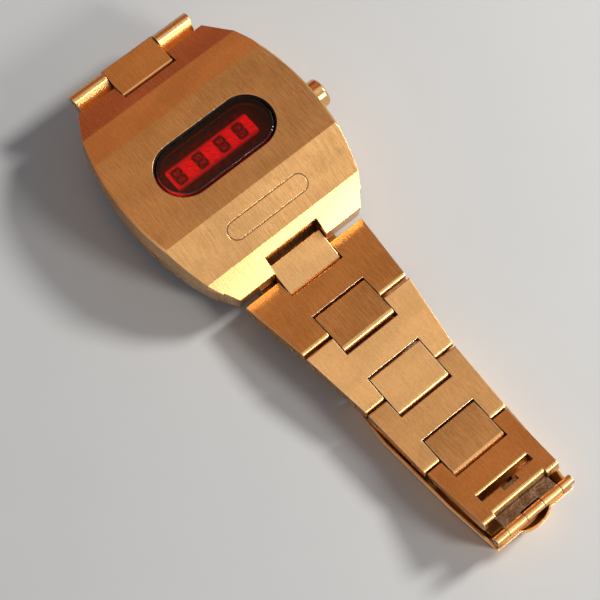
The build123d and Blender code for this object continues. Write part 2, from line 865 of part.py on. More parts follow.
# The six o'clock half, four links: the last is slotted for the clasp's adjusting leaf
six_count = len(six_link_half_widths)
slot_near = end_link_length - slot_from_end - slot_width
slot_far = end_link_length - slot_from_end
leaf_top = half_link - leaf_below_face
leaf_bottom = leaf_top - leaf_thickness
for index, half_widths in enumerate(six_link_half_widths):
    number = str(index + 1)
    block_start = six_pins[2 * index]
    block_heading = six_headings[2 * index]
    make_block("six_block_" + number, block_start, -1, block_heading, index == 0)
    start = six_pins[2 * index + 1]
    heading = six_headings[2 * index + 1]
    name = "six_link_" + number
    if index < six_count - 1:
        notches = (lead_notch, tail_notch)
        link = make_link(name, start, -1, heading, half_widths, link_length, notches, (0, link_pitch))
        finish(link.part, name)
        continue
    slotless = make_link(
        name, start, -1, heading, half_widths, end_link_length, (lead_notch,), (0,)
    )
    with BuildPart() as link:
        add(slotless.part)
        # Slot with its middle notch, from face to face
        with BuildSketch(plan_plane(start, -1, heading)):
            with Locations((0, (slot_near + slot_far) / 2)):
                Rectangle(slot_length, slot_width)
            with Locations((0, slot_far + slot_notch_depth / 2)):
                Rectangle(slot_notch_length, slot_notch_depth)
        extrude(amount=link_thickness, both=True, mode=Mode.SUBTRACT)
        # Step between the two end tabs
        with BuildSketch(plan_plane(start, -1, heading)):
            with Locations((0, end_link_length)):
                Rectangle(slot_length, 2 * end_tab_step)
        extrude(amount=link_thickness, both=True, mode=Mode.SUBTRACT)
        # The slot and the bar behind it have rounded outer edges towards six o'clock
        bar_far = end_link_length - end_tab_step
        for edge, radius in ((slot_near, slot_edge_round), (bar_far, bar_edge_round)):
            with BuildSketch(section_plane(start, -1, heading)):
                with Locations((edge - radius / 2 + slot_width / 4, half_link - radius / 2 + cut_over / 2)):
                    Rectangle(radius + slot_width / 2, radius + cut_over)
                with Locations((edge - radius, half_link - radius)):
                    Circle(radius, mode=Mode.SUBTRACT)
            extrude(amount=slot_length / 2, both=True, mode=Mode.SUBTRACT)
        # Channel in the inner face for the leaf
        with BuildSketch(plan_plane(start, -1, heading, leaf_top)):
            with Locations((0, (slot_near + end_link_length + cut_over) / 2)):
                Rectangle(slot_length, end_link_length + cut_over - slot_near)
        extrude(amount=-link_thickness, mode=Mode.SUBTRACT)
    finish(link.part, name)

# Clasp: an adjusting leaf hooked in the last link, a five-knuckle hinge, the inner leaf and the cover
last_pin = six_pins[-2]
last_heading = six_headings[-1]
hinge_along = end_link_length + hinge_reach
leaf_middle = leaf_top - leaf_thickness / 2
hinge_axis = place_along(last_pin, -1, last_heading, hinge_along, leaf_middle)
knuckles = []
for near, far in zip(knuckle_edges, knuckle_edges[1:]):
    knuckles.append(((near + far) / 2, (far - near - knuckle_gap) / 2))
leaf_stop = hinge_along - knuckle_radius - neck_gap
hook_near = slot_far + slot_notch_depth - leaf_hook_gap - leaf_hook_thickness

with BuildPart() as adjuster_leaf:
    with BuildSketch(plan_plane(last_pin, -1, last_heading, leaf_bottom)):
        with Locations((0, (hook_near + leaf_stop) / 2)):
            Rectangle(2 * leaf_half_width, leaf_stop - hook_near)
        for centre, half in knuckles[1::2]:
            with Locations((centre, (leaf_stop + hinge_along) / 2)):
                Rectangle(2 * half, hinge_along - leaf_stop)
    extrude(amount=leaf_thickness)
    with BuildSketch(plan_plane(last_pin, -1, last_heading, leaf_bottom)):
        with Locations((0, hook_near + leaf_hook_thickness / 2)):
            Rectangle(slot_notch_length - 2 * leaf_hook_gap, leaf_hook_thickness)
    extrude(amount=leaf_thickness + leaf_hook_height)
    for centre, half in knuckles[1::2]:
        with BuildSketch(side_plane.offset(centre - half)):
            with Locations(hinge_axis):
                Circle(knuckle_radius)
        extrude(amount=2 * half)
    with BuildSketch(side_plane):
        with Locations(hinge_axis):
            Circle(pin_radius + pin_clearance)
    extrude(amount=hinge_half_width, both=True, mode=Mode.SUBTRACT)
finish(adjuster_leaf.part, "adjuster_leaf")

# The upright of the inner leaf leans outwards with the cover's walls
lean_slope = tan(radians(cover_lean))
upright_y = hinge_axis[0]
neck_top_z = hinge_axis[1] - knuckle_radius - neck_gap
leaf_face_z = inner_leaf_z + inner_leaf_thickness
foot_outer_y = upright_y - inner_leaf_thickness / 2 + (neck_top_z - inner_leaf_z) * lean_slope
foot_inner_y = upright_y + inner_leaf_thickness / 2 + (neck_top_z - leaf_face_z) * lean_slope
flat_far_y = cover_hinge_y - knuckle_radius - neck_gap
with BuildPart() as inner_leaf:
    # Flat stretch and upright, bent from one strip
    with BuildSketch(side_plane):
        with BuildLine():
            Polyline(
                (flat_far_y, inner_leaf_z),
                (flat_far_y, leaf_face_z),
                (foot_inner_y, leaf_face_z),
                (upright_y + inner_leaf_thickness / 2, neck_top_z),
                (upright_y - inner_leaf_thickness / 2, neck_top_z),
                (foot_outer_y, inner_leaf_z),
                close=True,
            )
        make_face()
    extrude(amount=inner_leaf_half_width, both=True)
    outside_corner = (0, foot_outer_y, inner_leaf_z)
    inside_corner = (0, foot_inner_y, leaf_face_z)
    inside_radius = inner_leaf_corner - inner_leaf_thickness
    for corner, radius in ((outside_corner, inner_leaf_corner), (inside_corner, inside_radius)):
        bend = inner_leaf.edges().filter_by(Axis.X).sort_by_distance(corner)
        fillet(bend[0], radius=radius)
    # Knuckles of the hinge with the adjusting leaf
    for centre, half in knuckles[0::2]:
        with BuildSketch(side_plane.offset(centre - half)):
            with Locations(hinge_axis):
                Circle(knuckle_radius)
            with Locations((upright_y, (neck_top_z + hinge_axis[1]) / 2)):
                Rectangle(inner_leaf_thickness, hinge_axis[1] - neck_top_z)
        extrude(amount=2 * half)
    # Barrel of the hinge with the cover
    with BuildSketch(side_plane):
        with Locations((cover_hinge_y, cover_hinge_z)):
            Circle(knuckle_radius)
        with Locations(((flat_far_y + cover_hinge_y) / 2, inner_leaf_z + inner_leaf_thickness / 2)):
            Rectangle(cover_hinge_y - flat_far_y, inner_leaf_thickness)
    extrude(amount=cover_barrel_half_width, both=True)
    for axis_place, radius in (
        (hinge_axis, pin_radius),
        ((cover_hinge_y, cover_hinge_z), pin_radius + pin_clearance),
    ):
        with BuildSketch(side_plane):
            with Locations(axis_place):
                Circle(radius)
        extrude(amount=hinge_half_width + cut_over, both=True, mode=Mode.SUBTRACT)
    # Long window between two rails
    window_far = foot_inner_y + inner_leaf_window_rail
    window_near = flat_far_y - inner_leaf_window_rail
    with BuildSketch(Plane.XY.offset(inner_leaf_z)):
        with Locations((0, (window_far + window_near) / 2)):
            SlotOverall(window_near - window_far, inner_leaf_window, rotation=90)
    extrude(amount=inner_leaf_thickness, mode=Mode.SUBTRACT)
finish(inner_leaf.part, "inner_leaf")

with BuildPart() as clasp_hinge_pin:
    with BuildSketch(side_plane):
        with Locations(hinge_axis):
            Circle(pin_radius)
    extrude(amount=hinge_half_width - pin_recess, both=True)
finish(clasp_hinge_pin.part, "clasp_hinge_pin")

# Cover: a tray with leaning walls, whose front lip has a finger bulge in its middle
lip_inner_y = upright_y - inner_leaf_thickness / 2 - cover_front_gap
lip_outer_y = lip_inner_y - lip_thickness
lean_run = lip_height * lean_slope


def wall_height(y):
    """Height of the side walls at a place along the cover."""
    share = (cover_hinge_y - y) / (cover_hinge_y - lip_inner_y)
    return cover_wall_height_rear + (cover_wall_height_front - cover_wall_height_rear) * share


def cover_outline(inset, front_y):
    """Outline of the cover at the height of the lip, leaned out from the tops of its walls."""
    rear_y = cover_hinge_y + cover_ear_radius + cut_over
    halves = []
    for half, y in (
        (cover_rear_half_width, cover_hinge_y),
        (cover_half_width, cover_belly_y),
        (cover_knee_half_width, cover_taper_start_y),
        (cover_end_half_width, front_y),
    ):
        halves.append(half + (lip_height - wall_height(y)) * lean_slope - inset)
    return (
        (-halves[0], rear_y),
        (-halves[0], cover_hinge_y),
        (-halves[1], cover_belly_y),
        (-halves[2], cover_taper_start_y),
        (-halves[3], front_y),
        (halves[3], front_y),
        (halves[2], cover_taper_start_y),
        (halves[1], cover_belly_y),
        (halves[0], cover_hinge_y),
        (halves[0], rear_y),
    )


def bulge_outline(front_y):
    """Finger bulge of the lip from above, at the level of the floor's underside."""
    foot_y = front_y + lean_run
    crown_y = foot_y - lip_bulge * lip_bulge_crown_share
    Spline(
        (-lip_bulge_half_width, foot_y),
        (-lip_bulge_crown_half_width, crown_y),
        (0, foot_y - lip_bulge),
        (lip_bulge_crown_half_width, crown_y),
        (lip_bulge_half_width, foot_y),
    )
    Polyline(
        (lip_bulge_half_width, foot_y),
        (lip_bulge_half_width, foot_y + lip_thickness),
        (-lip_bulge_half_width, foot_y + lip_thickness),
        (-lip_bulge_half_width, foot_y),
    )


lean_direction = (0, -lean_slope, 1)
with BuildPart() as clasp_cover:
    with BuildSketch(Plane.XY.offset(lip_height)):
        with BuildLine():
            Polyline(*cover_outline(0, lip_outer_y), close=True)
        make_face()
    extrude(amount=-lip_height, taper=cover_lean)
    # Walls rise towards the front, and round off about the hinge at the back
    with BuildSketch(side_plane):
        with BuildLine():
            Polyline(
                (cover_hinge_y, 0),
                (cover_hinge_y, cover_wall_height_rear),
                (lip_inner_y, cover_wall_height_front),
                (lip_inner_y, lip_height),
                (lip_outer_y, lip_height),
                (lip_outer_y, 0),
                close=True,
            )
        make_face()
        with Locations((cover_hinge_y, cover_hinge_z)):
            Circle(cover_ear_radius)
    extrude(amount=2 * cover_half_width, both=True, mode=Mode.INTERSECT)
    # Finger bulge, then the hollow of the tray, open at the back, and of the bulge
    with BuildSketch():
        with BuildLine():
            bulge_outline(lip_outer_y)
        make_face()
    extrude(amount=lip_height, dir=lean_direction)
    with BuildSketch(Plane.XY.offset(lip_height)):
        with BuildLine():
            Polyline(*cover_outline(cover_wall, lip_inner_y), close=True)
        make_face()
    extrude(amount=cover_floor - lip_height, taper=cover_lean, mode=Mode.SUBTRACT)
    with BuildSketch(Plane.XY.offset(cover_floor)):
        with BuildLine():
            bulge_outline(lip_inner_y - cover_floor * lean_slope)
        make_face()
    extrude(amount=lip_height, dir=lean_direction, mode=Mode.SUBTRACT)
    floor_half_width = cover_rear_half_width - cover_wall - cover_wall_height_rear * lean_slope
    with BuildSketch(Plane.XY):
        with Locations((0, cover_hinge_y + cover_ear_radius)):
            Rectangle(2 * floor_half_width, 2 * cover_ear_radius)
    extrude(amount=cover_floor, mode=Mode.SUBTRACT)
    # Holes for the cover's hinge pin
    with BuildSketch(side_plane):
        with Locations((cover_hinge_y, cover_hinge_z)):
            Circle(pin_radius)
    extrude(amount=2 * cover_half_width, both=True, mode=Mode.SUBTRACT)
finish(clasp_cover.part, "clasp_cover")

ear_lean = (cover_wall_height_rear - cover_hinge_z + pin_radius) * lean_slope
ear_half_width = cover_rear_half_width - ear_lean
with BuildPart() as cover_hinge_pin:
    with BuildSketch(side_plane):
        with Locations((cover_hinge_y, cover_hinge_z)):
            Circle(pin_radius)
    extrude(amount=ear_half_width - pin_recess, both=True)
finish(cover_hinge_pin.part, "cover_hinge_pin")
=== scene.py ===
import bpy
from math import radians
from mathutils import Matrix, Vector


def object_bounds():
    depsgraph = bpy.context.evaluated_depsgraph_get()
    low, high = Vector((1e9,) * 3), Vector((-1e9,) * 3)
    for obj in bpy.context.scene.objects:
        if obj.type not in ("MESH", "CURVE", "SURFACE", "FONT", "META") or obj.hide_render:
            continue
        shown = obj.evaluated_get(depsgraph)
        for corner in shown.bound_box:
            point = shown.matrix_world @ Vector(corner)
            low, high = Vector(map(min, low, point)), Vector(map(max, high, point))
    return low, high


# A digital wrist watch with a light-emitting display lies on a pale floor, on its closed bracelet.
# Metres. X points to three o'clock, Y to twelve o'clock, Z up out of the display.
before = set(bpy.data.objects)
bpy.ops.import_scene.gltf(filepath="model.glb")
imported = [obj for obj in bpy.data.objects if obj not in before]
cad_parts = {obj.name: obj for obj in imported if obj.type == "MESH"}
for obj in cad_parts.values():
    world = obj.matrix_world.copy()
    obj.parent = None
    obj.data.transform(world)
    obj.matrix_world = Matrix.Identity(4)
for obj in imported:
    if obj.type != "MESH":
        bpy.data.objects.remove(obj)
cad_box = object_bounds()
scene = bpy.context.scene
scene.view_settings.view_transform = "Standard"

mm = 0.001
per_mm = 1 / mm

# Camera, at the photograph's place: its focal length is in pixels of the 600 pixel frame
frame_pixels = 600
focal_pixels = 1947.2
sensor = 36.0
near_clip = 0.01
far_clip = 20.0
camera_place = Vector((-0.07401, -0.10906, 0.29230))
camera_right = Vector((0.76683, -0.64185, 0.00052))
camera_forward = Vector((0.22670, 0.27009, -0.93577))

# Floor, just under the watch
floor_half = 2.5
floor_drop = 0.02 * mm
floor_colour = (0.70, 0.70, 0.69)
floor_mottle = 1.02
floor_span = (0.3, 0.7)
floor_roughness = 0.9

# Lamps: name, direction from the aim, distance, size, power in watts and colour
lamp_aim = Vector((0.0, -0.02, 0.0))
lamps = (
    ("key", (0.33, -0.78, 0.53), 0.62, 0.14, 1.3, (1.0, 0.97, 0.93)),
    ("side", (0.726, -0.225, 0.650), 0.55, 0.12, 2.1, (1.0, 0.98, 0.95)),
)

# World: an even light, a plain backdrop, and a sky for reflections from six to twelve o'clock.
# High in that sky, in the shade band, it is darker towards three o'clock.
fill_colour = (0.18, 0.185, 0.20)
backdrop_colour = (0.62, 0.62, 0.62)
sky_stops = (
    (0.00, (0.60, 0.53, 0.46)),
    (0.26, (0.62, 0.51, 0.42)),
    (0.33, (0.66, 0.56, 0.48)),
    (0.39, (0.90, 0.84, 0.80)),
    (0.55, (0.92, 0.83, 0.76)),
    (0.60, (0.68, 0.56, 0.47)),
    (0.64, (0.52, 0.36, 0.25)),
    (0.71, (0.43, 0.20, 0.09)),
    (0.78, (0.52, 0.28, 0.13)),
    (0.87, (0.50, 0.24, 0.15)),
    (0.94, (0.34, 0.10, 0.07)),
    (1.00, (0.28, 0.09, 0.06)),
)
shade_band = ((0.62, 0.0), (0.66, 1.0), (0.72, 1.0), (0.76, 0.0))
shade_stops = ((0.61, 1.0), (0.65, 0.45))

# Gold plating, pale to deep across its grain, and a pale gold for worn marks and for the painted
# highlight on edges; steel
gold_pale = (0.885, 0.54, 0.235)
gold_mid = (0.855, 0.50, 0.205)
gold_deep = (0.82, 0.465, 0.18)
gold_wear_and_highlight = (0.95, 0.80, 0.56)
steel_pale = (0.66, 0.63, 0.57)
steel_deep = (0.36, 0.33, 0.28)

# Circuit board
board_pale = (0.07, 0.24, 0.10)
board_deep = (0.03, 0.13, 0.06)
board_roughness = (0.35, 0.5)

# Textures, in waves per millimetre along X, Y and Z
brush_waves = (7.0, 0.35, 0.35)
cloud_waves = (0.10, 0.22, 0.22)
speck_waves = (3.4, 3.4, 3.4)
stain_waves = (0.5, 0.5, 0.5)
scratch_waves = (8.0, 0.45, 0.45)
wipe_waves = (0.5, 2.4, 0.5)
hatch_waves = (1.6, 7.0, 3.0)
spot_waves = (2.6, 2.6, 2.6)
track_waves = (0.7, 0.7, 0.7)
mottle_waves = (0.05, 0.05, 0.05)

# Scratches lie at several angles in degrees, each set moved on from the last
scratch_turns = (24.0, -38.0, 71.0)
scratch_step = Vector((7.0, 3.0, 0.0)) * mm
scratch_fade = 0.03
wipe_turn = 30.0
hatch_turn = 45.0

# Spans of a factor, and levels or colours along one as (place, level)
whole_span = (0.0, 1.0)
middle_span = (0.35, 0.65)
drawn_span = (0.32, 0.66)
gold_stops = ((0.30, gold_deep), (0.50, gold_mid), (0.70, gold_pale))
tarnish_stops = ((0.38, 0.88), (0.62, 1.0))
speckle_stops = ((0.30, 0.84), (0.55, 1.0))
dot_stops = ((0.70, 0.0), (0.76, 1.0))
stain_stops = ((0.40, 0.72), (0.60, 1.0))
track_stops = ((0.42, 0.0), (0.50, 1.0))
glass_stops = ((0.30, (0.56, 0.035, 0.05)), (0.70, (0.64, 0.05, 0.065)))
wipe_stops = ((0.40, 0.02), (0.75, 0.10))
polish_stops = ((0.0, 0.0), (0.6, 1.0))
hatch_stops = ((0.3, 0.35), (0.7, 0.55))
strip_end_stops = ((0.0, 0.35), (1.0, 1.0))

# Shares of a tint: scratches and specks, painted highlights on rims, dull clouds, dark digit fields
mark_share = 0.45
gold_rim_highlight = 0.75
case_rim_highlight = 0.5
steel_rim_highlight = 0.6
plastic_rim_highlight = 0.4
cloud_share = 0.35
field_share = 0.92

# Glass of the lens, and how deep the finest textures go
glass_ior = 1.46
glass_gloss = 0.22
wipe_depth = 0.002 * mm
hatch_depth = 0.02 * mm
track_depth = 0.03 * mm

# Edges and grooves: the rim's level falls as the rounded normal nears the flat one; the rim paints
# highlights on edges, and grooves and narrow gaps get painted shade
link_edge = 0.20 * mm
case_edge = 0.09 * mm
small_edge = 0.1 * mm
lens_edge = 0.3 * mm
rim_stops = ((0.90, 1.0), (0.995, 0.0))
groove_reach = 0.4 * mm
groove_open = 0.90
groove_shut = 0.45
# Darkest painted shade in grooves, for gold and steel
gold_groove_shade = 0.04
steel_groove_shade = 0.12
shader_rays = 6

# The leaf of the clasp is gold beyond this place, in millimetres
leaf_gold_y = -74.5
leaf_gold_fade = 0.3

# Strip with a painted glow, in millimetres: where its four digits stand, and how far their dark fields
# reach
digit_places = (-7.1, -2.8, 1.6, 5.3)
digit_half_width = 0.75
digit_side_fade = 0.40
digit_half_height = 1.35
digit_end_fade = 0.3
strip_middle = 0.4
strip_half_height = 1.4
strip_fade = 0.6
strip_span_x = (-10.0, 10.0)
strip_span_y = (-2.0, 3.0)
field_stops = ((0.42, (0.04, 0.003, 0.006)), (0.60, (0.36, 0.012, 0.024)))


# Node helpers
def start_material(name):
    """A new material with a Principled shader: its tree and the shader."""
    material = bpy.data.materials.new(name)
    material.use_nodes = True
    tree = material.node_tree
    shader = tree.nodes["Principled BSDF"]
    return material, tree, shader


def feed(tree, socket, value):
    """Link an output to a socket, or set the socket to a plain value."""
    if isinstance(value, bpy.types.NodeSocket):
        tree.links.new(value, socket)
    else:
        socket.default_value = value


def dress(tree, shader, colour, roughness, normal):
    """Link a colour, a roughness and a normal to the shader."""
    tree.links.new(colour, shader.inputs["Base Color"])
    tree.links.new(roughness, shader.inputs["Roughness"])
    tree.links.new(normal, shader.inputs["Normal"])


def place(tree, waves, turn=0.0, shift=(0.0, 0.0, 0.0)):
    """Coordinates fixed to the piece, in waves per millimetre along each axis, turned about Z."""
    where = tree.nodes.new("ShaderNodeTexCoord")
    turned = tree.nodes.new("ShaderNodeMapping")
    turned.inputs["Rotation"].default_value = (0.0, 0.0, radians(turn))
    turned.inputs["Location"].default_value = shift
    scaled = tree.nodes.new("ShaderNodeMapping")
    scaled.inputs["Scale"].default_value = [wave * per_mm for wave in waves]
    tree.links.new(where.outputs["Object"], turned.inputs["Vector"])
    tree.links.new(turned.outputs["Vector"], scaled.inputs["Vector"])
    return scaled.outputs["Vector"]


def noise(tree, vector, detail=3.0, roughness=0.55):
    """Grey noise, one cell to each unit of the coordinates."""
    node = tree.nodes.new("ShaderNodeTexNoise")
    node.inputs["Scale"].default_value = 1.0
    node.inputs["Detail"].default_value = detail
    node.inputs["Roughness"].default_value = roughness
    tree.links.new(vector, node.inputs["Vector"])
    return node.outputs["Fac"]


def ramp(tree, factor, stops):
    """Colours along a factor: stops are (place, colour or grey level)."""
    node = tree.nodes.new("ShaderNodeValToRGB")
    elements = node.color_ramp.elements
    while len(elements) < len(stops):
        elements.new(1.0)
    for element, (spot, colour) in zip(elements, stops):
        element.position = spot
        rgb = (colour,) * 3 if isinstance(colour, float) else colour
        element.color = (*rgb, 1.0)
    tree.links.new(factor, node.inputs["Fac"])
    return node.outputs["Color"]


def spread(tree, factor, low, high, span=middle_span):
    """Levels or colours from low to high, as a factor passes a span."""
    start, end = span
    return ramp(tree, factor, ((start, low), (end, high)))


def mixed(tree, factor, first, second, blend="MIX"):
    """Two colours mixed by a factor."""
    node = tree.nodes.new("ShaderNodeMix")
    node.data_type = "RGBA"
    node.blend_type = blend
    feed(tree, node.inputs["Factor"], factor)
    for socket, value in ((node.inputs["A"], first), (node.inputs["B"], second)):
        rgba = value if isinstance(value, bpy.types.NodeSocket) else (*value, 1.0)
        feed(tree, socket, rgba)
    return node.outputs["Result"]


def combined(tree, operation, first, second):
    """The product of two numbers (MULTIPLY), or the greater of them (MAXIMUM)."""
    node = tree.nodes.new("ShaderNodeMath")
    node.operation = operation
    node.use_clamp = True
    feed(tree, node.inputs[0], first)
    feed(tree, node.inputs[1], second)
    return node.outputs["Value"]


def shaded(tree, colour, level):
    """A colour multiplied by a level."""
    return mixed(tree, 1.0, colour, level, "MULTIPLY")


def tinted(tree, colour, mask, share, tint):
    """A colour moved towards a tint by a share of a mask."""
    return mixed(tree, combined(tree, "MULTIPLY", mask, share), colour, tint)


def bumped(tree, height, depth, normal=None):
    """Normal of a surface whose height varies by a depth in metres."""
    node = tree.nodes.new("ShaderNodeBump")
    node.inputs["Strength"].default_value = 1.0
    node.inputs["Distance"].default_value = depth
    tree.links.new(height, node.inputs["Height"])
    if normal is not None:
        tree.links.new(normal, node.inputs["Normal"])
    return node.outputs["Normal"]


def edges(tree, radius):
    """Rounded normal near the edges, and a mask that is white along them."""
    rounded = tree.nodes.new("ShaderNodeBevel")
    rounded.samples = shader_rays
    rounded.inputs["Radius"].default_value = radius
    geometry = tree.nodes.new("ShaderNodeNewGeometry")
    product = tree.nodes.new("ShaderNodeVectorMath")
    product.operation = "DOT_PRODUCT"
    tree.links.new(rounded.outputs["Normal"], product.inputs[0])
    tree.links.new(geometry.outputs["Normal"], product.inputs[1])
    return rounded.outputs["Normal"], ramp(tree, product.outputs["Value"], rim_stops)


def grooves(tree, darkest):
    """Painted shade: a grey level that falls in grooves and narrow gaps, where shade falls."""
    near = tree.nodes.new("ShaderNodeAmbientOcclusion")
    near.samples = shader_rays
    near.inputs["Distance"].default_value = groove_reach
    return ramp(tree, near.outputs["AO"], ((groove_shut, darkest), (groove_open, 1.0)))


def along(tree, axis, low, high):
    """Place along an axis of the piece, from zero at low to one at high, in millimetres."""
    where = tree.nodes.new("ShaderNodeTexCoord")
    split = tree.nodes.new("ShaderNodeSeparateXYZ")
    tree.links.new(where.outputs["Object"], split.inputs["Vector"])
    span = tree.nodes.new("ShaderNodeMapRange")
    span.inputs["From Min"].default_value = low * mm
    span.inputs["From Max"].default_value = high * mm
    tree.links.new(split.outputs[axis], span.inputs["Value"])
    return span.outputs["Result"]


def windows(tree, axis, span, places, half, fade):
    """Mask that is white in windows of a half width about several places along an axis."""
    low, high = span
    window = ((-half - fade, 0.0), (-half, 1.0), (half, 1.0), (half + fade, 0.0))
    stops = [
        ((spot + offset - low) / (high - low), level) for spot in places for offset, level in window
    ]
    return ramp(tree, along(tree, axis, low, high), stops)


def scratches(tree, share):
    """Mask of short straight scratches lying at several angles: fewer with a higher share."""
    total = None
    for index, turn in enumerate(scratch_turns):
        where = place(tree, scratch_waves, turn, scratch_step * index)
        lines = spread(tree, noise(tree, where, detail=1.0), 0.0, 1.0, (share, share + scratch_fade))
        total = lines if total is None else combined(tree, "MAXIMUM", total, lines)
    return total


# Materials
def satin_gold(name, grain, roughness, wear, waves=brush_waves, edge=link_edge, rim_highlight=gold_rim_highlight):
    """Plated gold, brushed along Y, with faint tarnish, specks and scratches, a painted highlight on
    its edges and painted shade in its grooves and narrow gaps.
    """
    material, tree, shader = start_material(name)
    low, high = roughness
    streaks = noise(tree, place(tree, waves), detail=4.0, roughness=0.65)
    clouds = noise(tree, place(tree, cloud_waves))
    specks = noise(tree, place(tree, speck_waves), roughness=0.6)
    marks = combined(tree, "MAXIMUM", scratches(tree, wear), ramp(tree, specks, dot_stops))
    rounded, rim = edges(tree, edge)

    colour = ramp(tree, streaks, gold_stops)
    colour = shaded(tree, colour, ramp(tree, clouds, tarnish_stops))
    colour = shaded(tree, colour, ramp(tree, specks, speckle_stops))
    colour = tinted(tree, colour, marks, mark_share, gold_wear_and_highlight)
    # Painted highlight: edges are moved towards pale gold
    colour = tinted(tree, colour, rim, rim_highlight, gold_wear_and_highlight)
    # Painted shade: darker in grooves and narrow gaps
    colour = shaded(tree, colour, grooves(tree, gold_groove_shade))

    blur = spread(tree, streaks, low, high)
    blur = tinted(tree, blur, clouds, cloud_share, (high, high, high))
    brushed = bumped(tree, streaks, grain, rounded)
    dress(tree, shader, colour, blur, bumped(tree, marks, -grain, brushed))
    shader.inputs["Metallic"].default_value = 1.0
    return material


def brushed_steel(name, pale, deep, roughness, grain, waves, gold_from=None):
    """Steel with drawn lines, stained a little, with a painted highlight along its edges and painted
    shade in its grooves; gold beyond a place.
    """
    material, tree, shader = start_material(name)
    low, high = roughness
    streaks = noise(tree, place(tree, waves), detail=5.0, roughness=0.7)
    stains = noise(tree, place(tree, stain_waves))
    rounded, rim = edges(tree, small_edge)

    colour = spread(tree, streaks, deep, pale, drawn_span)
    colour = shaded(tree, colour, ramp(tree, stains, stain_stops))
    if gold_from is not None:
        beyond = along(tree, "Y", gold_from, gold_from - leaf_gold_fade)
        plated = spread(tree, beyond, 0.0, 1.0, whole_span)
        gold = spread(tree, streaks, gold_deep, gold_pale, drawn_span)
        colour = mixed(tree, plated, colour, gold)
    # Painted highlight: edges are moved towards the pale steel
    colour = tinted(tree, colour, rim, steel_rim_highlight, pale)
    # Painted shade: darker in grooves and narrow gaps
    colour = shaded(tree, colour, grooves(tree, steel_groove_shade))

    dress(tree, shader, colour, spread(tree, stains, low, high), bumped(tree, streaks, grain, rounded))
    shader.inputs["Metallic"].default_value = 1.0
    return material


def grained(name, pale, deep, waves, roughness, depth, metallic=0.0, gloss=0.5):
    """Plastic, rubber or a cast surface with a fine grain in colour, gloss and height."""
    material, tree, shader = start_material(name)
    low, high = roughness
    grain = noise(tree, place(tree, (waves, waves, waves)), detail=4.0)
    rounded, rim = edges(tree, small_edge)
    # Painted highlight: edges are moved towards the pale colour
    colour = tinted(tree, spread(tree, grain, deep, pale), rim, plastic_rim_highlight, pale)
    dress(tree, shader, colour, spread(tree, grain, low, high), bumped(tree, grain, depth, rounded))
    shader.inputs["Metallic"].default_value = metallic
    shader.inputs["Specular IOR Level"].default_value = gloss
    return material


def red_glass(name):
    """Dark red glass with faint wipe marks and a polished rim."""
    material, tree, shader = start_material(name)
    wipes = noise(tree, place(tree, wipe_waves, wipe_turn), detail=4.0)
    rounded, rim = edges(tree, lens_edge)
    tint = ramp(tree, wipes, glass_stops)
    blur = ramp(tree, wipes, wipe_stops)
    dress(tree, shader, tint, blur, bumped(tree, wipes, wipe_depth, rounded))
    tree.links.new(ramp(tree, rim, polish_stops), shader.inputs["Coat Weight"])
    shader.inputs["IOR"].default_value = glass_ior
    shader.inputs["Specular IOR Level"].default_value = glass_gloss
    shader.inputs["Transmission Weight"].default_value = 1.0
    return material


def digit_fields(tree, colour):
    """The strip's colour, darker towards its ends in Y, with a dark mottled field at each digit."""
    across = windows(tree, "X", strip_span_x, digit_places, digit_half_width, digit_side_fade)
    down = windows(tree, "Y", strip_span_y, (strip_middle,), digit_half_height, digit_end_fade)
    body = windows(tree, "Y", strip_span_y, (strip_middle,), strip_half_height, strip_fade)
    spots = noise(tree, place(tree, spot_waves), detail=2.0)
    mottled = ramp(tree, spots, field_stops)
    fields = combined(tree, "MULTIPLY", across, down)
    colour = tinted(tree, colour, fields, field_share, mottled)
    return shaded(tree, colour, ramp(tree, body, strip_end_stops))


def red_with_painted_glow(name, pale, deep, strength, with_fields=False):
    """Diffusing red plastic, hatched finely, with a painted glow: its colour is also emitted, though
    the display is not lit.
    """
    material, tree, shader = start_material(name)
    hatch = noise(tree, place(tree, hatch_waves, hatch_turn))
    colour = spread(tree, hatch, deep, pale)
    if with_fields:
        colour = digit_fields(tree, colour)
    dress(tree, shader, colour, ramp(tree, hatch, hatch_stops), bumped(tree, hatch, hatch_depth))
    # Painted glow: the colour is emitted as light
    tree.links.new(colour, shader.inputs["Emission Color"])
    shader.inputs["Emission Strength"].default_value = strength
    return material


def board_finish(name):
    """Green solder mask over copper tracks."""
    material, tree, shader = start_material(name)
    cells = tree.nodes.new("ShaderNodeTexVoronoi")
    cells.distance = "MANHATTAN"
    cells.inputs["Scale"].default_value = 1.0
    tree.links.new(place(tree, track_waves), cells.inputs["Vector"])
    tracks = ramp(tree, cells.outputs["Distance"], track_stops)
    colour = mixed(tree, tracks, board_deep, board_pale)
    blur = spread(tree, tracks, *board_roughness, whole_span)
    dress(tree, shader, colour, blur, bumped(tree, tracks, track_depth))
    return material


def base_name(material):
    """A material's name without the number that a second one of its name gets."""
    return material.name.split(".")[0]


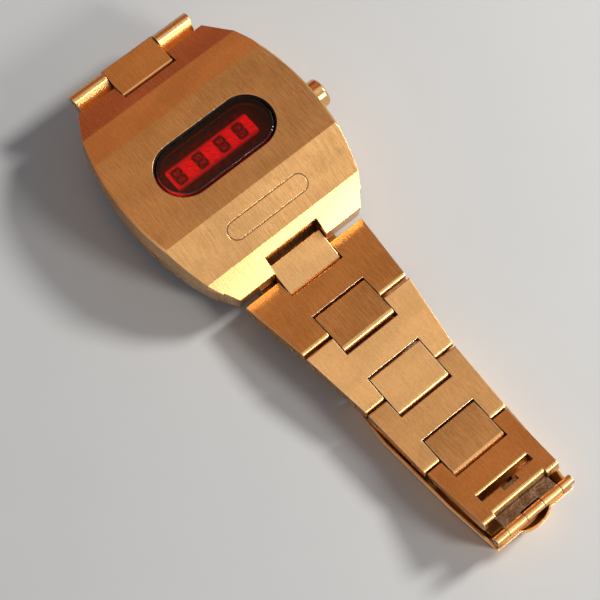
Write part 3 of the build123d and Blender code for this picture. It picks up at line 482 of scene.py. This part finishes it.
finishes = (
    satin_gold("case_gold", 0.0009 * mm, (0.22, 0.32), wear=0.75, edge=case_edge, rim_highlight=case_rim_highlight),
    satin_gold("link_gold", 0.0012 * mm, (0.22, 0.33), wear=0.76),
    satin_gold("block_gold", 0.0012 * mm, (0.21, 0.32), wear=0.76),
    satin_gold("clasp_gold", 0.0015 * mm, (0.24, 0.36), wear=0.75),
    satin_gold("button_gold", 0.002 * mm, (0.14, 0.24), wear=0.70, waves=(0.3, 5.0, 5.0)),
    brushed_steel(
        "case_steel",
        pale=steel_pale,
        deep=steel_deep,
        roughness=(0.28, 0.42),
        grain=0.006 * mm,
        waves=(0.16, 5.0, 0.16),
    ),
    brushed_steel(
        "pin_steel",
        pale=steel_pale,
        deep=steel_deep,
        roughness=(0.22, 0.36),
        grain=0.004 * mm,
        waves=(0.3, 6.0, 6.0),
    ),
    brushed_steel(
        "clasp_steel",
        pale=(0.60, 0.48, 0.37),
        deep=(0.10, 0.07, 0.05),
        roughness=(0.30, 0.46),
        grain=0.006 * mm,
        waves=(2.6, 3.2, 3.2),
        gold_from=leaf_gold_y,
    ),
    brushed_steel(
        "can_silver",
        pale=(0.80, 0.80, 0.80),
        deep=(0.55, 0.55, 0.56),
        roughness=(0.2, 0.34),
        grain=0.003 * mm,
        waves=(6.0, 0.4, 0.4),
    ),
    brushed_steel(
        "battery_steel",
        pale=(0.74, 0.74, 0.74),
        deep=(0.50, 0.50, 0.51),
        roughness=(0.2, 0.36),
        grain=0.004 * mm,
        waves=(3.0, 3.0, 0.3),
    ),
    grained(
        "seal_rubber",
        pale=(0.020, 0.018, 0.018),
        deep=(0.010, 0.009, 0.009),
        waves=4.0,
        roughness=(0.45, 0.7),
        depth=0.02 * mm,
        gloss=0.2,
    ),
    grained(
        "module_black",
        pale=(0.05, 0.05, 0.05),
        deep=(0.02, 0.02, 0.02),
        waves=3.0,
        roughness=(0.4, 0.65),
        depth=0.03 * mm,
    ),
    grained(
        "package_red",
        pale=(0.20, 0.012, 0.020),
        deep=(0.05, 0.003, 0.006),
        waves=1.0,
        roughness=(0.4, 0.6),
        depth=0.01 * mm,
        gloss=0.2,
    ),
    grained(
        "chip_black",
        pale=(0.04, 0.04, 0.045),
        deep=(0.02, 0.02, 0.022),
        waves=5.0,
        roughness=(0.45, 0.6),
        depth=0.02 * mm,
    ),
    grained(
        "contact_brass",
        pale=(0.85, 0.62, 0.28),
        deep=(0.60, 0.40, 0.16),
        waves=3.0,
        roughness=(0.25, 0.4),
        depth=0.004 * mm,
        metallic=1.0,
    ),
    red_glass("lens_red"),
    red_with_painted_glow("strip_red", (1.0, 0.06, 0.10), (0.55, 0.02, 0.04), strength=0.9, with_fields=True),
    red_with_painted_glow("digit_red", (0.20, 0.008, 0.016), (0.02, 0.002, 0.004), strength=0.6),
    board_finish("board_green"),
)
finish_of = {base_name(finish): finish for finish in finishes}

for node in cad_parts.values():
    for slot in node.material_slots:
        slot.material = finish_of[base_name(slot.material)]


# Stage
def make_floor():
    """A plain pale floor just under the watch."""
    mesh = bpy.data.meshes.new("floor")
    low = cad_box[0].z - floor_drop
    signs = ((-1, -1), (1, -1), (1, 1), (-1, 1))
    mesh.from_pydata([(sx * floor_half, sy * floor_half, low) for sx, sy in signs], [], [(0, 1, 2, 3)])
    floor = bpy.data.objects.new("floor", mesh)
    scene.collection.objects.link(floor)
    material, tree, shader = start_material("floor")
    grain = noise(tree, place(tree, mottle_waves))
    pale = tuple(floor_mottle * level for level in floor_colour)
    tree.links.new(spread(tree, grain, floor_colour, pale, floor_span), shader.inputs["Base Color"])
    shader.inputs["Roughness"].default_value = floor_roughness
    mesh.materials.append(material)


def make_lamps():
    """Soft lamps: one before six o'clock, one at three o'clock that throws the shadow."""
    for name, toward, distance, size, power, colour in lamps:
        lamp = bpy.data.lights.new(name, "AREA")
        lamp.shape = "DISK"
        lamp.size = size
        lamp.energy = power
        lamp.color = colour
        piece = bpy.data.objects.new(name, lamp)
        scene.collection.objects.link(piece)
        direction = Vector(toward).normalized()
        piece.location = lamp_aim + direction * distance
        piece.rotation_euler = direction.to_track_quat("Z", "Y").to_euler()


def make_world():
    """Even pale light, with a sky for reflections that darkens and warms towards twelve o'clock."""
    world = bpy.data.worlds.new("studio")
    world.use_nodes = True
    scene.world = world
    tree = world.node_tree
    background = tree.nodes["Background"]
    where = tree.nodes.new("ShaderNodeTexCoord")
    split = tree.nodes.new("ShaderNodeSeparateXYZ")
    tree.links.new(where.outputs["Generated"], split.inputs["Vector"])
    spans = {}
    for axis in "XY":
        span = tree.nodes.new("ShaderNodeMapRange")
        span.inputs["From Min"].default_value = -1.0
        span.inputs["From Max"].default_value = 1.0
        tree.links.new(split.outputs[axis], span.inputs["Value"])
        spans[axis] = span.outputs["Result"]
    sky = ramp(tree, spans["Y"], sky_stops)
    shade = shaded(tree, sky, ramp(tree, spans["X"], shade_stops))
    sky = mixed(tree, ramp(tree, spans["Y"], shade_band), sky, shade)
    path = tree.nodes.new("ShaderNodeLightPath")
    colour = mixed(tree, path.outputs["Is Glossy Ray"], fill_colour, sky)
    colour = mixed(tree, path.outputs["Is Camera Ray"], colour, backdrop_colour)
    tree.links.new(colour, background.inputs["Color"])
    background.inputs["Strength"].default_value = 1.0


def make_camera():
    """The camera, from its place and two of its axes."""
    lens = bpy.data.cameras.new("camera")
    lens.sensor_width = sensor
    lens.lens = focal_pixels / frame_pixels * sensor
    lens.clip_start = near_clip
    lens.clip_end = far_clip
    camera = bpy.data.objects.new("camera", lens)
    scene.collection.objects.link(camera)
    up = camera_right.cross(camera_forward)
    turned = Matrix((camera_right, up, -camera_forward)).transposed()
    camera.matrix_world = Matrix.Translation(camera_place) @ turned.to_4x4()
    scene.camera = camera


make_floor()
make_lamps()
make_world()
make_camera()
